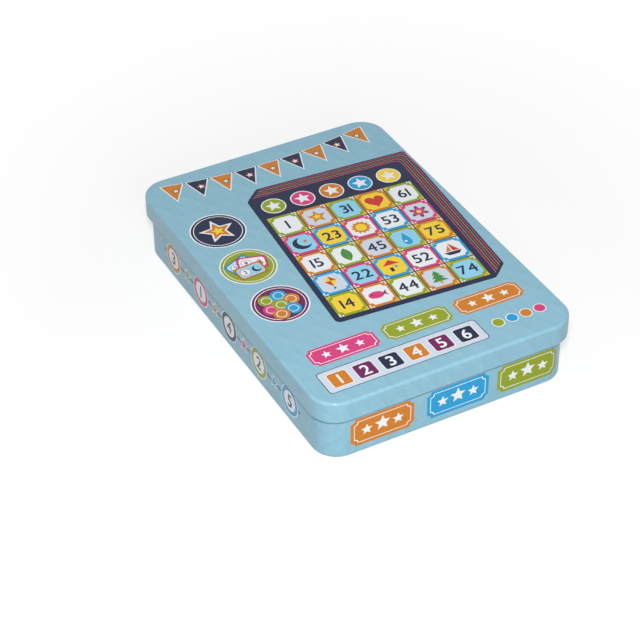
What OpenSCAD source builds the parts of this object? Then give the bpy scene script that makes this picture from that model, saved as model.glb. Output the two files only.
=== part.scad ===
// Card game tin with a hinged lid, in millimetres.
// Frame: origin at the middle of the underside, +X to the right, +Y towards the hinged back
// short side, +Z up. The lid is shut.

/* [Tin] */
// Width of the lid over its skirt
lid_w = 140; // [139:1:160]
// Length of the lid over its skirt
lid_l = 203; // [202:1:240]
// Height of the shut tin
tin_h = 35.5; // [32:0.5:60]
// Thickness of the tinplate
plate_t = 0.3; // [0.25:0.01:0.35]

/* [Lid] */
// Height of the lid's skirt, from its lower edge to the top face
skirt_h = 11.5; // [10:0.5:14]
// Outer corner radius of the lid
lid_corner_r = 14; // [12:0.5:18]
// Outer radius of the fold between top face and skirt
lid_fold_r = 1.5; // [1:0.1:2]
// Thickness of the folded hem at the skirt's lower edge
hem_t = 0.7; // [0.6:0.05:0.8]
// Height of that hem
hem_h = 2; // [1.6:0.1:2.5]

/* [Base tray] */
// How far the lid stands out past the tray's wall on each side
overhang = 2.5; // [2.5:0.05:2.7]
// Outer corner radius of the tray
tray_corner_r = 13; // [11.5:0.5:16]
// Outer radius between the tray's floor and wall
tray_foot_r = 1.2; // [1:0.1:1.6]
// Outer diameter of the rolled rim
rim_d = 1.4; // [1.2:0.05:1.4]
// Gap between the rolled rim and the lid's top plate
rim_gap = 0.2; // [0.15:0.05:0.3]
// How far the floor's middle panel is pressed up above the ring that the tin stands on
panel_rise = 0.6; // [0.4:0.1:1]
// Width of that ring, from the tray's outer wall to the panel
foot_ring_w = 8; // [6:0.5:8]

/* [Hinges] */
// Length of each hinge barrel
barrel_l = 20; // [16:1:26]
// Distance from the middle of the tin to the middle of each hinge
hinge_x = 38; // [26:1:42]
// Outer radius of the rolled knuckles
knuckle_r = 0.95; // [0.9:0.01:1]
// Thickness of the hinge leaves
leaf_t = 0.35; // [0.3:0.01:0.36]
// Radius of the wire pin
pin_r = 0.55; // [0.45:0.01:0.55]
// Height of the hinge axis above the skirt's lower edge
axis_lift = 0.6; // [0.55:0.01:0.62]
// Height of the leaf that is welded to the tray
tray_leaf_h = 7; // [5:0.5:9]
// Height of the leaf that is welded inside the skirt
lid_leaf_h = 5; // [4:0.5:5.5]

/* [Contents] */
// Short side of a bingo board
board_w = 110; // [90:1:110]
// Long side of a bingo board
board_l = 140; // [120:1:140]
// Thickness of a laminated board
board_t = 0.8; // [0.5:0.05:1]
// Number of boards, one for each player
board_count = 6; // [2:1:8]
// Long side of a calling card
card_w = 74; // [60:1:74]
// Short side of a calling card
card_l = 48; // [40:1:48]
// Thickness of a calling card
card_t = 0.34; // [0.25:0.01:0.4]
// Number of calling cards
card_count = 24; // [12:1:30]
// Height of a spinning-top shaped chip
chip_l = 16; // [12:0.5:16]
// Thickness of a chip
chip_t = 1.3; // [0.8:0.1:1.6]
// Layers of chips, sixteen in each
chip_layers = 6; // [2:1:8]

/* [Hidden] */
$fn = 64;
CHIP_COLOURS = ["green", "blue", "orange", "pink"];

print_blue = "#9cc6dd";
bare_tin = "#c9ccd0";
wire_grey = "#8e9296";
board_colours = ["#25305f", "#e98a2b", "#a8c739", "#d24d8f", "#3c8fc7", "#7a3f86"];
chip_paints = ["#7cc142", "#2f7fd0", "#f08a24", "#e2508f"];

// Lid and tray
skirt_z = tin_h - skirt_h;
tray_w = lid_w - 2 * overhang;
tray_l = lid_l - 2 * overhang;
tray_h = tin_h - plate_t - rim_gap;
rim_r = rim_d / 2;
rim_open_deg = 80;
panel_slope = 0.6;
floor_top = plate_t + panel_rise;

// Hinge axis: midway between the tray's back wall and the inner face of the skirt
gap = overhang - plate_t;
axis_y = tray_l / 2 + gap / 2;
axis_z = skirt_z + axis_lift;
run_gap = 0.2;
lid_knuckle_l = 8;
tray_knuckle_l = (barrel_l - lid_knuckle_l) / 2 - run_gap;
running_clearance = 0.05;
fixed_clearance = 0.01;
pin_head_r = 0.75;
pin_head_l = 0.35;
leaf_clear = 0.25;
notch_w = barrel_l + 2;
notch_h = axis_lift + knuckle_r + leaf_clear;

// Contents
board_corner_r = 4;
card_corner_r = 3;
wall_margin = 3.6;
board_x = -tray_w / 2 + plate_t + wall_margin + board_w / 2;
board_y = tray_l / 2 - plate_t - 3 - board_l / 2;
board_shift = 0.45;
card_x = -tray_w / 2 + plate_t + wall_margin + card_w / 2;
card_y = -tray_l / 2 + plate_t + wall_margin + card_l / 2;
card_shift = 0.5;
chip_w = 0.75 * chip_l;
chip_pitch = 17.6;
chip_shift = 0.4;

// The chips fill three rows beside the deck of cards and one long row beside the boards
row_x = tray_w / 2 - plate_t - 10.4;
row_y = -tray_l / 2 + plate_t + 10.1;
corner_ease = 0.4;
CHIP_CELLS = concat(
    [for (i = [0 : 2]) for (j = [0 : 2])
        [row_x - corner_ease - i * chip_pitch, row_y + j * chip_pitch]],
    [for (j = [3 : 9]) [row_x, row_y + j * chip_pitch]]
);

function card_name(i) = str("calling_card_", i < 10 ? "0" : "", i);

// A repeatable number from -1 to 1 for the nth loose piece
function scatter(n, seed) = rands(-1, 1, n + 1, seed)[n];

// A rectangle with round corners, w by l, centred
module round_rect(w, l, r) {
    square([w - 2 * r, l], center = true);
    square([w, l - 2 * r], center = true);
    for (sx = [-1, 1]) for (sy = [-1, 1])
        translate([sx * (w / 2 - r), sy * (l / 2 - r)]) circle(r);
}

// Carries a wall's section round a rectangle with round corners. The section's x is 0 at the
// outline and grows outwards, and its y is the height.
module around(w, l, r) {
    for (k = [0 : 3]) {
        side = k % 2 == 0 ? l : w;
        reach = (k % 2 == 0 ? w : l) / 2;
        rotate([0, 0, 90 * k]) {
            translate([reach, 0, 0]) rotate([90, 0, 0])
                linear_extrude(side - 2 * r, center = true) children();
            translate([reach - r, side / 2 - r, 0])
                rotate_extrude(angle = 90) translate([r, 0]) children();
        }
    }
}

// A quarter of a bent sheet, from straight down to straight inwards, bent about the origin
module quarter_bend(r) {
    intersection() {
        difference() {
            circle(r);
            circle(r - plate_t);
        }
        square(r + 1);
    }
}

// Section of the lid's wall: the fold, the skirt and the hem pressed flat inside it
module lid_section() {
    translate([-lid_fold_r, skirt_h - lid_fold_r]) quarter_bend(lid_fold_r);
    translate([-plate_t, hem_t / 2]) square([plate_t, skirt_h - lid_fold_r - hem_t / 2]);
    translate([-hem_t, hem_t / 2]) square([hem_t, hem_h - hem_t / 2]);
    translate([-hem_t / 2, hem_t / 2]) circle(hem_t / 2);
}

// Section of the tray's wall: the foot bend, the wall and the rim rolled outwards
module tray_section() {
    translate([-tray_foot_r, tray_foot_r]) mirror([0, 1]) quarter_bend(tray_foot_r);
    translate([-plate_t, tray_foot_r]) square([plate_t, tray_h - rim_r - tray_foot_r]);
    translate([rim_r - plate_t, tray_h - rim_r]) difference() {
        circle(rim_r);
        circle(rim_r - plate_t);
        polygon([[0, 0], [-2 * rim_r, 0], [-2 * rim_r, -2 * rim_r],
                 [2 * rim_r * cos(180 + rim_open_deg), 2 * rim_r * sin(180 + rim_open_deg)]]);
    }
}

// Section of the step from the foot ring up to the floor's middle panel
module step_section() {
    polygon([[0, 0], [0, plate_t], [-panel_slope, floor_top], [-panel_slope, panel_rise]]);
}

module base_tray() {
    foot = 2 * tray_foot_r;
    panel_w = tray_w - 2 * foot_ring_w;
    panel_l = tray_l - 2 * foot_ring_w;
    panel_r = 8;
    color(print_blue) {
        around(tray_w, tray_l, tray_corner_r) tray_section();
        linear_extrude(plate_t) difference() {
            round_rect(tray_w - foot, tray_l - foot, tray_corner_r - tray_foot_r);
            round_rect(panel_w, panel_l, panel_r);
        }
        around(panel_w, panel_l, panel_r) step_section();
        translate([0, 0, panel_rise]) linear_extrude(plate_t)
            round_rect(panel_w - 2 * panel_slope, panel_l - 2 * panel_slope, panel_r - panel_slope);
    }
}

module lid() {
    color(print_blue) difference() {
        translate([0, 0, skirt_z]) {
            around(lid_w, lid_l, lid_corner_r) lid_section();
            translate([0, 0, skirt_h - plate_t]) linear_extrude(plate_t)
                round_rect(lid_w - 2 * lid_fold_r, lid_l - 2 * lid_fold_r, lid_corner_r - lid_fold_r);
        }
        for (sx = [-1, 1])
            translate([sx * hinge_x - notch_w / 2, tray_l / 2, skirt_z - 1])
                cube([notch_w, overhang + 1, notch_h + 1]);
        // The hem stops short of each leaf that is welded inside the skirt
        for (sx = [-1, 1])
            translate([sx * hinge_x - notch_w / 2, tray_l / 2, skirt_z - 1])
                cube([notch_w, gap, hem_h + 2]);
    }
}

// A rolled knuckle round the hinge axis, from x = 0 to x = length
module knuckle(length, bore_r) {
    rotate([0, 90, 0]) difference() {
        cylinder(r = knuckle_r, h = length);
        translate([0, 0, -1]) cylinder(r = bore_r, h = length + 2);
    }
}

// The bore through all knuckles of a leaf, cut again where a tongue runs into a knuckle
module pin_way(bore_r) {
    rotate([0, 90, 0]) cylinder(r = bore_r, h = barrel_l + 2, center = true);
}

// The leaf welded to the tray's back wall, with the two outer knuckles
module base_hinge_leaf(x) {
    leaf_top = -knuckle_r - leaf_clear;
    bore_r = pin_r + fixed_clearance;
    color(bare_tin) translate([x, axis_y, axis_z]) difference() {
        union() {
            translate([-barrel_l / 2, -gap / 2, leaf_top - tray_leaf_h])
                cube([barrel_l, leaf_t, tray_leaf_h]);
            for (left = [-barrel_l / 2, barrel_l / 2 - tray_knuckle_l]) {
                translate([left, 0, 0]) knuckle(tray_knuckle_l, bore_r);
                translate([left, -gap / 2, leaf_top - 1])
                    cube([tray_knuckle_l, leaf_t, 1 - leaf_top]);
            }
        }
        pin_way(bore_r);
    }
}

// The leaf welded inside the lid's skirt, with the middle knuckle
module lid_hinge_leaf(x) {
    leaf_foot = knuckle_r + leaf_clear;
    bore_r = pin_r + running_clearance;
    color(bare_tin) translate([x, axis_y, axis_z]) difference() {
        union() {
            translate([-barrel_l / 2, gap / 2 - leaf_t, leaf_foot])
                cube([barrel_l, leaf_t, lid_leaf_h]);
            translate([-lid_knuckle_l / 2, 0, 0]) knuckle(lid_knuckle_l, bore_r);
            translate([-lid_knuckle_l / 2, gap / 2 - leaf_t, 0])
                cube([lid_knuckle_l, leaf_t, leaf_foot + 1]);
        }
        pin_way(bore_r);
    }
}

// The wire pin, with both ends peened over the outer knuckles
module hinge_pin(x) {
    color(wire_grey) translate([x, axis_y, axis_z]) rotate([0, 90, 0]) {
        cylinder(r = pin_r, h = barrel_l, center = true);
        for (side = [-1, 1])
            translate([0, 0, side * (barrel_l + pin_head_l) / 2])
                cylinder(r = pin_head_r, h = pin_head_l, center = true);
    }
}

// The ith laminated board of the pile, counted from the bottom
module board(i) {
    color(board_colours[(i - 1) % len(board_colours)])
        translate([board_x + board_shift * scatter(i, 11), board_y + board_shift * scatter(i, 12),
                   floor_top + (i - 1) * board_t])
            linear_extrude(board_t) round_rect(board_w, board_l, board_corner_r);
}

// The ith calling card of the deck, counted from the bottom
module calling_card(i) {
    color("#f4f1e8")
        translate([card_x + card_shift * scatter(i, 21), card_y + card_shift * scatter(i, 22),
                   floor_top + (i - 1) * card_t])
            linear_extrude(card_t) round_rect(card_w, card_l, card_corner_r);
}

// Outline of a chip: a spinning top with its stem up, shoulders and a pointed foot
module chip_outline() {
    half = chip_w / 2;
    stem = 0.08 * chip_l;
    shoulder_y = 0.26 * chip_l;
    waist_y = -0.14 * chip_l;
    shoulder_cut = 1;
    polygon([
        [-stem, chip_l / 2], [stem, chip_l / 2], [stem, shoulder_y],
        [half - shoulder_cut, shoulder_y], [half, shoulder_y - shoulder_cut], [half, waist_y],
        [0, -chip_l / 2],
        [-half, waist_y], [-half, shoulder_y - shoulder_cut], [-half + shoulder_cut, shoulder_y],
        [-stem, shoulder_y]
    ]);
}

// All chips of one colour. Every layer holds four of each colour, dealt out in turn.
module chips(colour_index) {
    color(chip_paints[colour_index])
        for (layer = [0 : chip_layers - 1]) for (cell = [0 : len(CHIP_CELLS) - 1])
            if ((cell + 3 * layer + floor(cell / 4)) % len(CHIP_COLOURS) == colour_index) {
                n = layer * len(CHIP_CELLS) + cell;
                translate([CHIP_CELLS[cell][0] + chip_shift * scatter(n, 31),
                           CHIP_CELLS[cell][1] + chip_shift * scatter(n, 32),
                           floor_top + layer * chip_t])
                    rotate([0, 0, 180 * scatter(n, 33)])
                        linear_extrude(chip_t) chip_outline();
            }
}

base_tray();
lid();
base_hinge_leaf(-hinge_x);  // base_hinge_leaf_left
base_hinge_leaf(hinge_x);  // base_hinge_leaf_right
lid_hinge_leaf(-hinge_x);  // lid_hinge_leaf_left
lid_hinge_leaf(hinge_x);  // lid_hinge_leaf_right
hinge_pin(-hinge_x);  // hinge_pin_left
hinge_pin(hinge_x);  // hinge_pin_right
for (i = [1 : board_count]) board(i);
for (i = [1 : card_count]) calling_card(i);
for (k = [0 : 3]) chips(k);
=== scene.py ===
"""Card game tin with a hinged lid, dressed for rendering: printed and varnished tinplate outside,
bright tinplate inside, with its hinges, bingo boards, calling cards and chips.

The sections follow the tin as it is put together. Everything is in the frame of the construction
model: +X to the right, +Y towards the hinged short side, +Z up. Sheets, sections and prints are
drawn in millimetres and made in metres.
"""

import math

import bmesh
import bpy
import numpy as np
from mathutils import Matrix, Vector
from mathutils.geometry import delaunay_2d_cdt, interpolate_bezier


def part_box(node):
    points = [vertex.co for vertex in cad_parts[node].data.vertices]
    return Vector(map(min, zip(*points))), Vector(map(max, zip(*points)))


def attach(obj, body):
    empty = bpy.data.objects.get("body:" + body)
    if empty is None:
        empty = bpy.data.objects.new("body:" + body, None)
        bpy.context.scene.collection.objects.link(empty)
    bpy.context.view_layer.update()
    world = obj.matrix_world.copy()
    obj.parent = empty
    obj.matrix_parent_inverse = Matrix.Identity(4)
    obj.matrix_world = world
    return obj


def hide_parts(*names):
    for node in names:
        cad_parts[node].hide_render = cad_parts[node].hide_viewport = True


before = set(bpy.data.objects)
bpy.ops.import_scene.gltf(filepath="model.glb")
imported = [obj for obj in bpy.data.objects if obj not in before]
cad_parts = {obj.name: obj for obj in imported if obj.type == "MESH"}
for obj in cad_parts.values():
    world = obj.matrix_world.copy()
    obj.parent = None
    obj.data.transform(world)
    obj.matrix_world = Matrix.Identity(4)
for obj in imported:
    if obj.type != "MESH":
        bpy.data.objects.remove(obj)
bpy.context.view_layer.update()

# ---------------------------------------------------------------------------------------------
# Camera. It stands where the photograph was taken from, in front of the tin's left corner and
# well above it, with a long lens. The place comes from the tin's outline and edges.
# ---------------------------------------------------------------------------------------------
camera_at = Vector((-0.4027, -0.7227, 0.6479))
looks_along = Vector((0.36896, 0.69079, -0.62183))
picture_right = Vector((0.87946, -0.47591, -0.00686))
lens_mm = 116.2
sensor_mm = 36.0


def set_down(name, data):
    """A new object in the scene, at the origin."""
    thing = bpy.data.objects.new(name, data)
    bpy.context.scene.collection.objects.link(thing)
    return thing


camera = set_down("camera", bpy.data.cameras.new("camera"))
camera.data.lens = lens_mm
camera.data.sensor_width = sensor_mm
camera.data.clip_start = 0.05
picture_up = picture_right.cross(looks_along)
turn = Matrix((picture_right, picture_up, -looks_along)).transposed()
camera.matrix_world = Matrix.Translation(camera_at) @ turn.to_4x4()
bpy.context.scene.camera = camera

# ---------------------------------------------------------------------------------------------
# Base tray. One shell drawn from tinplate that was printed and varnished flat, with a tight bend
# at its foot, a floor pressed up in the middle and a rim rolled outwards. The ground pattern runs
# on from the floor up the walls, and inside and on the roll the sheet's bright side shows.
# ---------------------------------------------------------------------------------------------
MM = 0.001
PLATE = 0.3
TRAY_CORNER = 13.0
FOOT_BEND = 1.2
RIM_ROLL = 0.7
FOOT_RING = 8.0
FLOOR_RISE = 0.6
FLOOR_CORNER = 8.0
LAP = 0.4  # how far each wall's section runs on into the level plate beside it
ROLL_END = -100  # where the rim's roll ends, in degrees round from straight outwards
WALL_PRINT = (1.8, 31.0)  # the band of the wall that carries more than the ground pattern
PRINT_HEIGHT = 12.6  # the middle of the roundels and tickets on the walls
ROUNDEL_PITCH = 32.0
WALL_TICKET = {
    "width": 34, "height": 16.4, "bite": 2.4, "line_in": 3.4, "line_bite": 2.0,
    "pitch": 8.4, "small": 3.2, "big": 4.4, "lift": 0.6,
}
PRINTED, BRIGHT, BAND = 0, 1, 2
SHARP_BEND = math.radians(32)  # a bend tighter than this between two faces shows as an edge
CORNERS = ((1, 1), (-1, 1), (-1, -1), (1, -1))  # a rectangle's corners, walked anticlockwise

INKS = {
    "white": "e9edf0",
    "navy": "101c40",
    "orange": "cb7a1c",
    "lime": "8f9e18",
    "pink": "d23c7b",
    "plum": "6c1455",
    "bright blue": "1d9bd1",
    "yellow": "f2cf35",
    "pale": "ccd6e2",
    "leaf green": "3c8a3a",
    "red": "c8322c",
    "sky": "8fd0ea",
    "tan": "c69a5b",
}


class Outline:
    """A rectangle with round corners, seen from above and walked anticlockwise from the back end
    of its right side. Its stations stand round the corners, each with its outward direction."""

    def __init__(self, width, length, corner, steps=16):
        self.width, self.length, self.corner, self.steps = width, length, corner, steps
        at, out = [], []
        for k, (side_x, side_y) in enumerate(CORNERS):
            for i in range(steps + 1):
                angle = math.pi / 2 * (k + i / steps)
                out.append((math.cos(angle), math.sin(angle)))
                at.append((side_x * (width / 2 - corner), side_y * (length / 2 - corner)))
        self.out = np.array(out)
        self.at = np.array(at) + corner * self.out
        steps_taken = np.linalg.norm(np.roll(self.at, -1, 0) - self.at, axis=1)
        self.walked = np.concatenate(([0], np.cumsum(steps_taken)))

    def place(self, walked):
        """The point and the outward direction at a distance walked round the outline."""
        i = int(np.searchsorted(self.walked, walked, "right")) - 1
        i = min(i, len(self.at) - 1)
        share = (walked - self.walked[i]) / (self.walked[i + 1] - self.walked[i])
        after = (i + 1) % len(self.at)
        out = self.out[i] + share * (self.out[after] - self.out[i])
        return self.at[i] + share * (self.at[after] - self.at[i]), out / np.linalg.norm(out)


class Section:
    """The section of a sheet, traced along its printed face and back along its bright one: x
    outwards from the outline, z up. It keeps how far along the flat sheet each point lies."""

    def __init__(self, x, z):
        self.points, self.reach, self.sides = [(x, z)], [x], []

    def line(self, x, z, side):
        self.reach.append(self.reach[-1] + math.dist(self.points[-1], (x, z)))
        self.points.append((x, z))
        self.sides.append(side)

    def bend(self, x, z, radius, start, end, steps, side):
        for i in range(1, steps + 1):
            angle = math.radians(start + (end - start) * i / steps)
            self.line(x + radius * math.cos(angle), z + radius * math.sin(angle), side)


class Print:
    """Shapes of ink on a flat sheet, in millimetres, each laid over those before it."""

    def __init__(self):
        self.shapes = []

    def lay(self, outline, ink):
        self.shapes.append(([tuple(p) for p in outline], ink))

    def place(self, other, x, y, scale, turn, inks=None):
        """Lays another print here, scaled and turned, with any of its inks changed."""
        c, s = scale * math.cos(math.radians(turn)), scale * math.sin(math.radians(turn))
        for outline, ink in other.shapes:
            moved = [(x + c * px - s * py, y + s * px + c * py) for px, py in outline]
            self.lay(moved, (inks or {}).get(ink, ink))


def disc(x, y, radius, steps=0):
    """A circle, in more steps the larger it is."""
    steps = steps or 12 + 4 * round(radius)
    turns = [2 * math.pi * i / steps for i in range(steps)]
    return [(x + radius * math.cos(t), y + radius * math.sin(t)) for t in turns]


def block(x, y, width, height, corner=0.0, steps=5):
    """A rectangle centred on (x, y), its corners round, or bitten out where corner is negative."""
    if corner == 0:
        return [(x + i * width / 2, y + j * height / 2) for i, j in CORNERS]
    inset = corner if corner > 0 else 0
    points = []
    for k, (i, j) in enumerate(CORNERS):
        centre = (x + i * (width / 2 - inset), y + j * (height / 2 - inset))
        for n in range(steps + 1):
            share = n / steps if corner > 0 else 1 - n / steps
            angle = math.pi / 2 * (k + share) + (0 if corner > 0 else math.pi)
            points.append((centre[0] + abs(corner) * math.cos(angle),
                           centre[1] + abs(corner) * math.sin(angle)))
    return points


def star(x, y, radius, waist=0.45, tips=5):
    """A star with one tip up. The waist is how far in it goes between two tips."""
    points = []
    for i in range(2 * tips):
        angle = math.radians(90 + 180 * i / tips)
        reach = radius * (waist if i % 2 else 1)
        points.append((x + reach * math.cos(angle), y + reach * math.sin(angle)))
    return points


def font_figure(character):
    """The outlines of a plain figure one unit high from Blender's own font, the outer one first,
    a little bolder than the font. Later outlines are the holes in it."""
    text = bpy.data.curves.new("figure", "FONT")
    text.body = character
    holder = set_down("figure", text)
    bpy.context.view_layer.update()
    loops = []
    for spline in holder.to_curve(bpy.context.evaluated_depsgraph_get()).splines:
        knots = list(spline.bezier_points)
        loop = []
        for here, after in zip(knots, knots[1:] + knots[:1]):
            run = interpolate_bezier(here.co, here.handle_right, after.handle_left, after.co, 7)
            straight = (run[3] - (run[0] + run[-1]) / 2).length < 1e-3
            loop += run[:1] if straight else run[:-1]
        loop = np.array([p.xy for p in loop])
        keep = np.linalg.norm(loop - np.roll(loop, 1, 0), axis=1) > 1e-4
        loops.append(loop[keep])
    holder.to_curve_clear()
    bpy.data.objects.remove(holder)
    area = [np.sum(p[:, 0] * np.roll(p[:, 1], -1) - p[:, 1] * np.roll(p[:, 0], -1)) for p in loops]
    order = sorted(range(len(loops)), key=lambda i: -abs(area[i]))
    way_round = 1 if area[order[0]] > 0 else -1
    high, low = loops[order[0]].max(0), loops[order[0]].min(0)
    unit, bolder = high[1] - low[1], 0.028
    figure = []
    for i in order:
        points = (loops[i] - (low + high) / 2) / unit
        ahead = np.roll(points, -1, 0) - points
        behind = points - np.roll(points, 1, 0)
        ahead /= np.linalg.norm(ahead, axis=1)[:, None]
        behind /= np.linalg.norm(behind, axis=1)[:, None]
        along = ahead + behind
        along /= np.maximum(np.linalg.norm(along, axis=1), 0.5)[:, None]
        figure.append(points + way_round * bolder * along[:, ::-1] * (1, -1))
    return figure, (high[0] - low[0]) / unit + 2 * bolder


FIGURES = {character: font_figure(character) for character in "0123456789"}


def lay_number(sheet, number, x, y, height, ink, under):
    """A plain number centred on (x, y), the holes in its figures in the ink that lies under it."""
    spacing = 0.1 * height
    widths = [FIGURES[c][1] * height for c in str(number)]
    left = x - (sum(widths) + spacing * (len(widths) - 1)) / 2
    for character, width in zip(str(number), widths):
        for i, loop in enumerate(FIGURES[character][0]):
            outline = [(left + width / 2 + height * px, y + height * py) for px, py in loop]
            sheet.lay(outline, under if i else ink)
        left += width + spacing


def lay_discs(sheet, x, y, *discs):
    """Discs of ink on one middle, each a radius and an ink, laid over the one before."""
    for radius, ink in discs:
        sheet.lay(disc(x, y, radius), ink)


def lay_ticket(
    sheet, x, y, paint, width, height, bite, line_in, line_bite, pitch, small, big, lift
):
    """A ticket with bitten corners, a thin white line inside its edge and three white stars, the
    middle one larger and a little higher."""
    line = ((0, bite, paint), (line_in, line_bite, "white"), (line_in + 0.8, line_bite, paint))
    for less, bitten, ink in line:
        sheet.lay(block(x, y, width - less, height - less, -bitten), ink)
    for i, radius, up in ((-1, small, 0), (0, big, lift), (1, small, 0)):
        sheet.lay(star(x + pitch * i, y + up, radius), "white")


def as_linear(ink):
    """An ink's colour as the renderer wants it, with 1 for covered. None is bare ground."""
    if ink is None:
        return (0.0, 0.0, 0.0, 0.0)
    values = [int(INKS[ink][i : i + 2], 16) / 255 for i in (0, 2, 4)]
    return (*[v / 12.92 if v <= 0.04045 else ((v + 0.055) / 1.055) ** 2.4 for v in values], 1.0)


def inside(points, outline):
    """Which of the points lie inside a closed outline."""
    within = np.zeros(len(points), bool)
    outline = np.array(outline)
    near = np.all((points > outline.min(0)) & (points < outline.max(0)), axis=1)
    x, y = points[near, 0], points[near, 1]
    crossings = np.zeros(len(x), int)
    for (ax, ay), (bx, by) in zip(outline, np.roll(outline, -1, 0)):
        if ay != by:
            spans = (ay > y) != (by > y)
            crossings += spans & (x < ax + (y - ay) * (bx - ax) / (by - ay))
    within[near] = crossings % 2 == 1
    return within


def cut_up(region, shapes, lines=()):
    """Cuts a flat region into triangles along every shape drawn on it and every extra line. Each
    triangle takes the last ink laid over it. A shape in the ink "hole" is left out."""
    points, edges = list(region), []
    for outline in [list(line) for line in lines] + [outline for outline, _ in shapes]:
        first, count = len(points), len(outline)
        points += outline
        edges += [(first + i, first + (i + 1) % count) for i in range(count if count > 2 else 1)]
    whole = [list(range(len(region)))]
    found = delaunay_2d_cdt([Vector(p) for p in points], edges, whole, 1, 1e-5)
    at = np.array([tuple(p) for p in found[0]])
    pieces = [tri for tri, over in zip(found[2], found[5]) if over]
    middles = at[np.array(pieces)].mean(1)
    inks = np.full(len(pieces), None, object)
    for outline, ink in shapes:
        inks[inside(middles, outline)] = ink
    return [tuple(p) for p in at], [(t, ink) for t, ink in zip(pieces, inks) if ink != "hole"]


def from_above(ring):
    return [tuple(p[:2]) for p in ring]


class Tinplate:
    """The faces of one piece as it is put together. Each has its corners in millimetres, their
    places on the flat sheet, the side of the sheet that shows and the ink on it."""

    def __init__(self):
        self.faces = []

    def add(self, corners, sheet, side, ink=None):
        self.faces.append((corners, sheet, side, ink))

    def add_flat(self, z, region, shapes=(), side=PRINTED):
        """A level face, cut up along the shapes on it."""
        points, pieces = cut_up(region, shapes)
        for tri, ink in pieces:
            flat = [points[i] for i in tri]
            self.add([(*p, z) for p in flat], flat, side, ink)

    def add_carried(self, outline, section):
        """The section carried round the outline by Geometry Nodes. Returns its rings of points."""
        start = bpy.data.meshes.new("section")
        steps = range(len(section.points) - 1)
        places = [(x * MM, -z * MM, 0) for x, z in section.points]
        start.from_pydata(places, [(i, i + 1) for i in steps], [])
        values = {
            "Width": outline.width * MM,
            "Length": outline.length * MM,
            "Corner radius": outline.corner * MM,
            "Corner steps": outline.steps,
        }
        mesh = made_by(carried_round, start, values)
        count = len(section.points)
        rings = np.array([v.co for v in mesh.vertices]).reshape(-1, count, 3) / MM
        for polygon in mesh.polygons:
            corners = [divmod(v, count) for v in polygon.vertices]
            side = section.sides[min(j for _, j in corners)]
            if side != BAND:
                sheet = [outline.at[i] + outline.out[i] * section.reach[j] for i, j in corners]
                self.add([tuple(rings[i, j]) for i, j in corners], sheet, side)
        return rings

    def add_band(self, outline, low, high, reach, shapes):
        """The upright band of a wall between two heights, cut up along the shapes on it."""
        walked = outline.walked
        region = [(w, low) for w in walked] + [(w, high) for w in reversed(walked)]
        points, pieces = cut_up(region, shapes, [((w, low), (w, high)) for w in walked[1:-1]])
        placed = [outline.place(w) for w, _ in points]
        for tri, ink in pieces:
            corners = [(*placed[i][0], points[i][1]) for i in tri]
            sheet = [placed[i][0] + placed[i][1] * (reach + points[i][1] - low) for i in tri]
            self.add(corners, sheet, PRINTED, ink)

    def made(self, name, finishes):
        """The piece as one closed mesh, smooth over its bends and sharp at its cut edges."""
        mesh = bpy.data.meshes.new(name)
        corners = [p for face in self.faces for p in face[0]]
        ends = np.cumsum([0] + [len(face[0]) for face in self.faces])
        loops = [range(a, b) for a, b in zip(ends[:-1], ends[1:])]
        mesh.from_pydata(np.array(corners) * MM, [], loops)
        sheet = mesh.uv_layers.new(name="sheet")
        flat = np.array([p for face in self.faces for p in face[1]]) * MM
        sheet.data.foreach_set("uv", flat.ravel())
        ink = mesh.color_attributes.new("ink", "FLOAT_COLOR", "CORNER")
        linear = {face[3]: as_linear(face[3]) for face in self.faces}
        colours = [linear[face[3]] for face in self.faces for _ in face[0]]
        ink.data.foreach_set("color", np.array(colours).ravel())
        mesh.polygons.foreach_set("material_index", [face[2] for face in self.faces])
        for finish in finishes:
            mesh.materials.append(finish)
        shell = bmesh.new()
        shell.from_mesh(mesh)
        bmesh.ops.remove_doubles(shell, verts=shell.verts, dist=2e-6)
        bmesh.ops.recalc_face_normals(shell, faces=shell.faces)
        shell.to_mesh(mesh)
        shell.free()
        mesh.shade_smooth()
        mesh.set_sharp_from_angle(angle=SHARP_BEND)
        return set_down(name, mesh)


def add(tree, kind, fields=None, inputs=None, output=0):
    """Adds a node to a tree, sets its fields, sets or joins its inputs, and returns an output."""
    node = tree.nodes.new(kind)
    for field, value in (fields or {}).items():
        setattr(node, field, value)
    for key, value in (inputs or {}).items():
        if isinstance(value, bpy.types.NodeSocket):
            tree.links.new(value, node.inputs[key])
        else:
            node.inputs[key].default_value = value
    return node.outputs[output] if node.outputs else node


def new_maker(name, inputs):
    """A Geometry Nodes tree that takes a mesh and the named values."""
    tree = bpy.data.node_groups.new(name, "GeometryNodeTree")
    for label, kind in [("Geometry", "Geometry")] + inputs:
        tree.interface.new_socket(label, in_out="INPUT", socket_type="NodeSocket" + kind)
    tree.interface.new_socket("Geometry", in_out="OUTPUT", socket_type="NodeSocketGeometry")
    return tree, tree.nodes.new("NodeGroupInput").outputs


def end_maker(tree, geometry, material):
    real = add(tree, "GeometryNodeRealizeInstances", None, {0: geometry})
    painted = add(tree, "GeometryNodeSetMaterial", None, {"Geometry": real, "Material": material})
    tree.links.new(painted, tree.nodes.new("NodeGroupOutput").inputs[0])


def made_by(tree, start, values):
    """The plain mesh that a Geometry Nodes tree makes from a starting mesh and the values."""
    maker = set_down("maker", start)
    modifier = maker.modifiers.new("maker", "NODES")
    modifier.node_group = tree
    for socket in tree.interface.items_tree:
        if socket.in_out == "INPUT" and socket.name in values:
            modifier[socket.identifier] = values[socket.name]
    bpy.context.view_layer.update()
    finished = maker.evaluated_get(bpy.context.evaluated_depsgraph_get())
    mesh = bpy.data.meshes.new_from_object(finished)
    maker.modifiers.clear()
    bpy.data.objects.remove(maker)
    return mesh


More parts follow.
